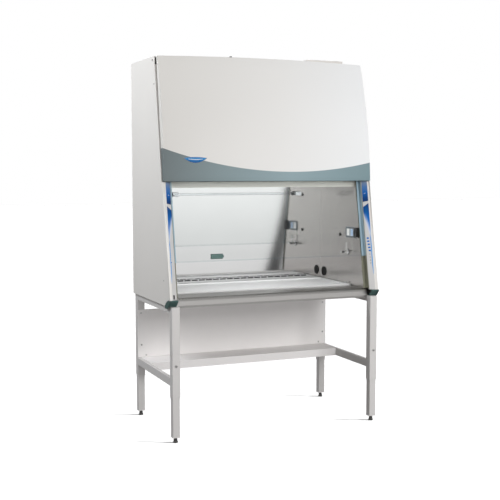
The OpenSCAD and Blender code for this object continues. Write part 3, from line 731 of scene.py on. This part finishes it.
def make_badge():
    rim = Mesh()
    rim.loft([lens(1.0, -0.5 * MM), lens(1.0, 1.0 * MM), lens(0.985, 1.4 * MM)])
    rim.piece("badge_rim", "front_cover", "chrome", "chrome")
    dome = Mesh()
    dome.loft([lens(0.95, 1.0 * MM), lens(0.95, 2.0 * MM), lens(0.90, 2.5 * MM), lens(0.72, 3.2 * MM),
               lens(0.4, 3.7 * MM), lens(0.1, 3.9 * MM)])
    dome.piece("badge_dome", "front_cover", "badge_blue", "key_blue", smooth=True)
    stripe = Mesh()
    rings = []
    for i in range(25):
        x = BADGE_X + BADGE_HALF * 0.62 * (i / 12 - 1)
        z = BADGE_Z - 10 * MM + 4 * MM * (i / 12 - 1) ** 2
        half = 2.6 * MM * math.sqrt(max(1 - (i / 12 - 1) ** 2, 0.02))
        rings.append([on_cover(x, z - half, 2.6 * MM), on_cover(x, z + half, 2.6 * MM),
                      on_cover(x, z + half * 0.7, 4.4 * MM), on_cover(x, z - half * 0.7, 4.4 * MM)])
    stripe.loft(rings)
    stripe.piece("badge_stripe", "front_cover", "outlet_white", "outlet_white")


def make_cover_shadow_strip():
    """Black strip along the lower edge of the front cover, put there as painted shade for the shadow line beneath
    the cover.
    """
    mesh = Mesh()
    low, high = OPEN_Z + 0.3 * MM, COVER_LOW + 0.2 * MM
    rings = []
    for x in (-716 * MM, 716 * MM):
        rings.append([behind(x, low, -4 * MM), behind(x, low, 9 * MM), behind(x, high, 9 * MM),
                      behind(x, high, -6 * MM), behind(x, (low + high) / 2, -6.5 * MM)])
    mesh.loft(rings)
    mesh.piece("cover_shadow_strip", "front_cover", "black_rubber", "black_rubber")


# ---- fasteners ----

def screw(mesh, place, axis, r=3.5 * MM):
    """A pan-head screw with a round socket; r is the radius of its head."""
    mesh.turned(place, axis, [(r, -0.2 * r), (r, 0.25 * r), (0.8 * r, 0.5 * r), (0.45 * r, 0.58 * r),
                              (0.4 * r, 0.15 * r)], 16)


def make_screws():
    sides = Mesh()
    for side in (-1, 1):
        for y, z in ((-0.109, 2.197), (-0.276, 0.991)):
            screw(sides, (side * HALF_W, y, z), (side, 0, 0), 4.5 * MM)
    sides.piece("side_screws", "cabinet", "bright_steel", "bright_steel")
    rear = Mesh()
    for i in range(-3, 4):
        for z in (BASE_Z + 22 * MM, TOP_Z - 22 * MM):
            screw(rear, (i * 0.226, BACK_Y, z), (0, 1, 0), 4 * MM)
    for side in (-1, 1):
        for i in range(1, 6):
            screw(rear, (side * 0.705, BACK_Y, BASE_Z + 0.022 + i * 0.2476), (0, 1, 0), 4 * MM)
    rear.piece("rear_screws", "cabinet", "bright_steel", "bright_steel")
    roof = Mesh()
    for side in (-1, 1):
        for y in (-0.05, 0.09, 0.23, 0.37):
            screw(roof, (side * 0.708, y, TOP_Z), (0, 0, 1), 4 * MM)
        for y in (-0.028, 0.268):
            for x in (0.10, 0.28):
                screw(roof, (side * x, y, TOP_Z + 2 * MM), (0, 0, 1), 3.5 * MM)
    for x in (0.41, 0.65):
        screw(roof, (x, 0.030, TOP_Z + 22 * MM), (0, -1, 0), 3 * MM)
    roof.piece("roof_screws", "cabinet", "bright_steel", "bright_steel")
    inside = Mesh()
    for dy in (-0.052, 0.052):
        for dz in (-0.030, 0.030):
            screw(inside, (INNER_X - 4 * MM, OUTLET.y + dy, OUTLET.z + dz), (-1, 0, 0), 2.5 * MM)
    for x, z in ((-0.189, 0.221), (-0.189, 0.247), (-0.110, 0.221), (-0.110, 0.247)):
        screw(inside, (x, INNER_Y - 1.5 * MM, BASE_Z + z), (0, -1, 0), 1.6 * MM)
    inside.piece("inner_screws", "cabinet", "bright_steel", "bright_steel")


# ---- stand ----

def make_welds():
    """Fillet welds where the rails meet the outer leg tubes."""
    mesh = Mesh()
    bead = 1.4 * MM
    outer = LEG_X + 25 * MM
    for side in (-1, 1):
        for end in (-1, 1):
            y = end * (LEG_Y - 25 * MM)
            for inner, low, high in ((LEG_X - 15 * MM, BASE_Z - 40 * MM, BASE_Z - 1 * MM),
                                     (LEG_X, SHELF_Z - 52 * MM, SHELF_Z - 2 * MM)):
                path = []
                for i in range(41):
                    wave = bead * 0.25 * math.sin(i * 1.9)
                    path.append((side * (inner + wave * 0.5), y - end * wave * 0.3,
                                 low + (high - low) * i / 40))
                mesh.tube(path, bead, 8)
                path = [(side * (inner + (outer - inner) * i / 30), y, low + 0.2 * bead * math.sin(i * 2.1))
                        for i in range(2, 29)]
                mesh.tube(path, bead, 8)
    mesh.piece("stand_welds", "cabinet", "stand_paint", "stand_paint", smooth=True)


def square_ring(mesh, x, y, inner, outer, z0, z1):
    """A square collar about a leg."""
    rings = []
    for half, z in ((outer, z0), (outer, z1), (inner, z1), (inner, z0)):
        rings.append([(x - half, y - half, z), (x + half, y - half, z), (x + half, y + half, z),
                      (x - half, y + half, z)])
    mesh.loft(rings, loop=True)


def make_leg_parts():
    """Collars in the mouths of the outer tubes, and lock nuts on the feet."""
    collars = Mesh()
    for name, sx, sy in (("fl", -1, -1), ("fr", 1, -1), ("rl", -1, 1), ("rr", 1, 1)):
        x, y = sx * LEG_X, sy * LEG_Y
        square_ring(collars, x, y, 22.15 * MM, 25 * MM, TUBE_Z - 4 * MM, TUBE_Z - 0.02 * MM)
        nut = Mesh()
        nut.turned((x, y, 25 * MM), (0, 0, 1), [(9.0 * MM, 0), (9.8 * MM, 0.6 * MM), (9.8 * MM, 5.4 * MM),
                                                (9.0 * MM, 6 * MM)], 6)
        nut.piece("lock_nut_" + name, "level_" + name, "foot_steel", "foot_steel")
    collars.piece("tube_collars", "cabinet", "stand_paint", "stand_paint")


# ---- roof and air handling ----

def pleats(name, box, pitch):
    """Folded filter media filling the frame of a filter."""
    mesh = Mesh()
    (x0, y0, z0), (x1, y1, z1) = box
    count = int((x1 - x0) / pitch)
    for i in range(count):
        left = x0 + i * pitch
        mesh.loft([[(left, y, z0), (left + pitch * 0.96, y, z0), (left + pitch * 0.58, y, z1),
                    (left + pitch * 0.42, y, z1)] for y in (y0, y1)])
    mesh.piece(name, "cabinet", "filter_frame", "filter_frame")


def make_filters():
    for name, node, pitch in (("supply_pleats", "supply_filter", 10 * MM),
                              ("exhaust_pleats", "exhaust_filter", 8 * MM)):
        low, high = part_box(node)
        pleats(name, ((low.x + 9 * MM, low.y + 9 * MM, low.z + 56 * MM),
                      (high.x - 9 * MM, high.y - 9 * MM, high.z - 6 * MM)), pitch)


def make_motor_fins():
    mesh = Mesh()
    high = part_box("blower_motor")[1]
    for i in range(9):
        x = high.x - (12 + 10 * i) * MM
        mesh.turned((x, FAN.y, FAN.z), (1, 0, 0),
                    [(69 * MM, -1.5 * MM), (75 * MM, -1 * MM), (75 * MM, 1 * MM), (69 * MM, 1.5 * MM)], 48)
    mesh.piece("motor_fins", "cabinet", "motor_grey", "motor_grey")


# ---- work space ----

def make_lamp_cords():
    """Leads of the ultraviolet lamp: from each end socket into the back wall."""
    mesh = Mesh()
    for side in (-1, 1):
        x, y, z = side * 478 * MM, 284 * MM, BASE_Z + 664 * MM
        mesh.tube(curve([(x - side * 2 * MM, y, z), (x + side * 14 * MM, y - 2 * MM, z + 1 * MM),
                         (x + side * 26 * MM, y + 4 * MM, z - 8 * MM),
                         (x + side * 30 * MM, y + 18 * MM, z - 12 * MM),
                         (x + side * 30 * MM, INNER_Y + 0.5 * MM, z - 12 * MM)]), 2.4 * MM)
        mesh.turned((x + side * 30 * MM, INNER_Y, z - 12 * MM), (0, -1, 0),
                    [(7 * MM, -0.5 * MM), (7 * MM, 2 * MM), (5 * MM, 4 * MM), (3 * MM, 4.5 * MM)])
    mesh.piece("lamp_cords", "cabinet", "black_rubber", "black_rubber", smooth=False)


# Holes in the upper slope of the front lip
HOLE_PITCH = 20 * MM
HOLE_R = 2.95 * MM
LIP_NORMAL = (0, -math.sin(math.radians(37)), math.cos(math.radians(37)))


def make_hole_shade_pieces():
    """Near-black discs in the holes of the front lip and a near-black sheet behind the slots of the back wall:
    painted shade for the dark inside seen through them.
    """
    holes = Mesh()
    for i in range(-32, 33):
        holes.turned((i * HOLE_PITCH, -326 * MM, BASE_Z + 41 * MM), LIP_NORMAL,
                     [(HOLE_R, -1.1 * MM), (HOLE_R, -0.3 * MM)], 16)
    holes.piece("grille_hole_shade", "cabinet", "dark_mesh", "black_plastic")
    slots = Mesh()
    slots.block((-0.572, INNER_Y + 2.1 * MM, RIM_Z + 8 * MM), (0.572, INNER_Y + 3.3 * MM, RIM_Z + 36 * MM))
    slots.piece("slot_shade", "cabinet", "dark_mesh", "black_plastic")


def make_outlet_rims():
    """Raised rims around the two receptacles."""
    mesh = Mesh()
    x = INNER_X - 4 * MM
    for side in (-1, 1):
        y = OUTLET.y + side * 26 * MM
        rings = []
        for half_y, half_z, lift in ((20, 24, -0.3), (20, 24, 1.2), (18.4, 22.4, 1.6), (17.6, 21.6, -0.3)):
            a, b = half_y * MM, half_z * MM
            rings.append([(x - lift * MM, y - a, OUTLET.z - b), (x - lift * MM, y + a, OUTLET.z - b),
                          (x - lift * MM, y + a, OUTLET.z + b), (x - lift * MM, y - a, OUTLET.z + b)])
        mesh.loft(rings, loop=True)
    mesh.piece("outlet_rims", "cabinet", "outlet_white", "outlet_white")


def make_valve_rings():
    """Serrations on the nozzle of the service valve."""
    mesh = Mesh()
    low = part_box("valve_body")[0]
    y, z = VALVE.y, VALVE.z
    for i in range(4):
        x = low.x + (9 + 4 * i) * MM
        mesh.turned((x, y, z), (1, 0, 0),
                    [(5.0 * MM, -1.5 * MM), (6.3 * MM, 1.3 * MM), (5.0 * MM, 1.5 * MM)])
    mesh.turned((INNER_X, y, z), (-1, 0, 0), [(20 * MM, 0), (20 * MM, 1.6 * MM), (18 * MM, 2.4 * MM)], 40)
    mesh.piece("valve_rings", "cabinet", "dark_steel", "dark_steel")


def make_details():
    for side, tag in ((1, "right"), (-1, "left")):
        make_film("film_top_" + tag, FILM_TOP, side, "film_top")
        make_film("film_sweep_" + tag, FILM_SWEEP, side, "film_sweep")
    make_face_marks()
    make_badge()
    make_cover_shadow_strip()
    make_screws()
    make_welds()
    make_leg_parts()
    make_filters()
    make_motor_fins()
    make_lamp_cords()
    make_hole_shade_pieces()
    make_outlet_rims()
    make_valve_rings()


make_details()


# ---- camera, light and floor ----

CAMERA = Vector((-2.529, -5.8643, 1.6624))


def make_camera():
    """The photo's viewing angle: from the left front, a little above the middle."""
    data = bpy.data.cameras.new("camera")
    data.sensor_width = 36
    data.lens = 69.16
    data.clip_start, data.clip_end = 0.1, 100
    camera = bpy.data.objects.new("camera", data)
    bpy.context.scene.collection.objects.link(camera)
    camera.location = CAMERA
    camera.rotation_euler = (math.radians(90 - 4.716), 0, -math.radians(23.05))
    bpy.context.scene.camera = camera


def make_world():
    """White to the eye; surfaces see a studio that is bright above and darker below."""
    world = bpy.data.worlds.new("studio")
    bpy.context.scene.world = world
    world.use_nodes = True
    tree = world.node_tree
    tree.nodes.clear()

    def add(kind):
        return tree.nodes.new(kind)

    coords, split, band = add("ShaderNodeTexCoord"), add("ShaderNodeSeparateXYZ"), add("ShaderNodeMapRange")
    tree.links.new(coords.outputs["Generated"], split.inputs[0])
    tree.links.new(split.outputs["Z"], band.inputs["Value"])
    band.inputs["From Min"].default_value = -1
    shade = add("ShaderNodeValToRGB")
    for element, (place, level) in zip(shade.color_ramp.elements, ((0.0, WORLD_LOW), (1.0, WORLD_HIGH))):
        element.position = place
        element.color = (level, level * 0.995, level * 0.985, 1)
    middle = shade.color_ramp.elements.new(0.5)
    middle.color = (WORLD_MIDDLE, WORLD_MIDDLE * 0.995, WORLD_MIDDLE * 0.985, 1)
    tree.links.new(band.outputs["Result"], shade.inputs["Fac"])
    mixer, path, out = add("ShaderNodeMixShader"), add("ShaderNodeLightPath"), add("ShaderNodeOutputWorld")
    seen, light = add("ShaderNodeBackground"), add("ShaderNodeBackground")
    seen.inputs["Color"].default_value = (1, 1, 1, 1)
    tree.links.new(shade.outputs["Color"], light.inputs["Color"])
    tree.links.new(path.outputs["Is Camera Ray"], mixer.inputs[0])
    tree.links.new(light.outputs[0], mixer.inputs[1])
    tree.links.new(seen.outputs[0], mixer.inputs[2])
    tree.links.new(mixer.outputs[0], out.inputs["Surface"])


def make_light(name, place, target, size, power, colour=(1, 1, 1), tall=None):
    data = bpy.data.lights.new(name, "AREA")
    data.energy = power
    data.color = colour
    data.shape = "RECTANGLE"
    data.size = size
    data.size_y = tall or size
    lamp = bpy.data.objects.new(name, data)
    bpy.context.scene.collection.objects.link(lamp)
    lamp.location = place
    lamp.rotation_euler = (Vector(target) - Vector(place)).to_track_quat("-Z", "Y").to_euler()
    lamp.visible_glossy = False


def make_floor():
    """Plain pale floor that looks white and takes faint shadows."""
    mesh = bpy.data.meshes.new("floor")
    reach = 40
    mesh.from_pydata([(-reach, -reach, 0), (reach, -reach, 0), (reach, reach, 0), (-reach, reach, 0)],
                     [], [(0, 1, 2, 3)])
    floor = bpy.data.objects.new("floor", mesh)
    bpy.context.scene.collection.objects.link(floor)
    s = Shader("floor_paper", (0.5, 0.5, 0.5), 0.9)
    s.put("Specular IOR Level", 0.0)
    seen = s.add("ShaderNodeLightPath").outputs["Is Camera Ray"]
    s.put("Base Color", s.tint(s.mix(seen, (0.01, 0.01, 0.01), (0.15, 0.15, 0.15)), s.noise(3, 2), 0.01))
    s.put("Emission Color", (1, 1, 1, 1))
    s.put("Emission Strength", s.spread(seen, FLOOR_BOUNCE, FLOOR_GLOW))
    mesh.materials.append(s.material)
    return floor


def group(name, members):
    """A collection outside the scene, used to say what a lamp reaches."""
    made = bpy.data.collections.new(name)
    for member in members:
        made.objects.link(member)
    return made


def make_floor_sun(floor):
    """A low lamp from the right that lights only the floor, past the feet."""
    data = bpy.data.lights.new("floor_sun", "SUN")
    data.energy = FLOOR_SUN
    data.angle = math.radians(7)
    lamp = bpy.data.objects.new("floor_sun", data)
    bpy.context.scene.collection.objects.link(lamp)
    lamp.rotation_euler = Vector((-0.88, 0.46, -0.36)).to_track_quat("-Z", "Y").to_euler()
    feet = [NODES["foot_" + q] for q in ("fl", "fr", "rl", "rr")]
    lamp.light_linking.receiver_collection = group("lit_by_sun", [floor])
    lamp.light_linking.blocker_collection = group("shading_sun", feet)


def make_reflection_card():
    """Staging: a card seen only in reflections, which puts the dark slanting band on the back wall."""
    def spot(x, z):
        return (CAMERA.x + (x - CAMERA.x) * CARD_SCALE, CARD_Y, CAMERA.z + (z - CAMERA.z) * CARD_SCALE)
    mesh = bpy.data.meshes.new("card")
    mesh.from_pydata([spot(-3, 0.85), spot(2.5, 0.85), spot(2.5, 2.0), spot(-3, 2.0)], [], [(0, 1, 2, 3)])
    card = bpy.data.objects.new("card", mesh)
    bpy.context.scene.collection.objects.link(card)
    s = Shader("card_light", (0, 0, 0), 1.0)
    # positions on the back wall that reflect each point of the card
    x = s.math("ADD", s.math("DIVIDE", s.math("SUBTRACT", s.axis("X"), CAMERA.x), CARD_SCALE), CAMERA.x)
    z = s.math("ADD", s.math("DIVIDE", s.math("SUBTRACT", s.axis("Z"), CAMERA.z), CARD_SCALE), CAMERA.z)
    drop = s.math("SUBTRACT", 1.555, z)
    bow = s.math("MULTIPLY", s.math("MULTIPLY", drop, drop), 0.18)
    left = s.math("SUBTRACT", s.math("SUBTRACT", 0.394, s.math("MULTIPLY", drop, 0.152)), bow)
    right = s.math("SUBTRACT", 0.441, s.math("MULTIPLY", drop, 0.174))
    height = s.spread(z, 0.0, 1.0, 0.88, 1.58)
    bright = s.ramp(height, CARD_BRIGHT)
    dark = s.ramp(height, CARD_DARK)
    grey = s.ramp(height, CARD_GREY)
    past_left = s.spread(s.math("SUBTRACT", x, left), 0.0, 1.0, -0.034, -0.008)
    past_right = s.spread(s.math("SUBTRACT", x, right), 0.0, 1.0, -0.004, 0.012)
    shade = s.mix(past_right, s.mix(past_left, bright, dark), grey)
    glow = s.add("ShaderNodeEmission")
    s.link(shade, glow.inputs["Color"])
    s.link(glow.outputs[0], s.tree.nodes["Material Output"].inputs["Surface"])
    mesh.materials.append(s.material)
    for ray in ("camera", "diffuse", "transmission", "volume_scatter", "shadow"):
        setattr(card, "visible_" + ray, False)


WORLD_LOW, WORLD_MIDDLE, WORLD_HIGH = 0.12, 0.31, 0.50
KEY_POWER = 16
LEFT_POWER = 74
FRONT_POWER = 42
HIGH_POWER = 106
HOOD_POWER = 5
FLOOR_SUN = 50
FLOOR_GLOW = 0.24
FLOOR_BOUNCE = 0.13
CARD_Y = -6.0
CARD_SCALE = 2.022


def grey_level(*levels):
    """Colour stops for a ramp from pairs of (place, 0..255 grey as seen on the wall)."""
    return [(place, tuple(min(c * 1.55, 1.6) for c in rgb(level, level, level, 1.0)))
            for place, level in levels]


CARD_BRIGHT = grey_level((0.0, 200), (0.3, 210), (0.6, 226), (0.85, 240), (1.0, 250))
CARD_DARK = grey_level((0.0, 45), (0.4, 50), (0.8, 60), (1.0, 75))
CARD_GREY = grey_level((0.0, 180), (0.4, 196), (0.8, 216), (1.0, 226))


def make_studio():
    make_camera()
    make_world()
    middle = (0, 0, 1.3)
    make_light("key", (4.2, -4.0, 3.4), middle, 1.4, KEY_POWER, (1.0, 0.99, 0.97))
    make_light("left_box", (-3.0, 0.35, 3.4), (-0.7, 0, 1.6), 1.2, LEFT_POWER, (0.93, 0.965, 1.0))
    make_light("front_box", (0.2, -4.6, 0.55), (0.1, 0, 0.6), 3.0, FRONT_POWER, (1, 1, 1), 0.9)
    make_light("hood_lamp", (0, -0.14, OPEN_Z - 46 * MM), (0, 0.16, BASE_Z), 1.2, HOOD_POWER,
               (0.97, 0.99, 1.0), 0.05)
    make_light("high_box", (1.0, -4.6, 2.6), (0.35, 0, 1.9), 1.6, HIGH_POWER)
    make_floor_sun(make_floor())
    make_reflection_card()
    bpy.context.scene.view_settings.view_transform = "Standard"
    bpy.context.scene.view_settings.look = "None"


make_studio()
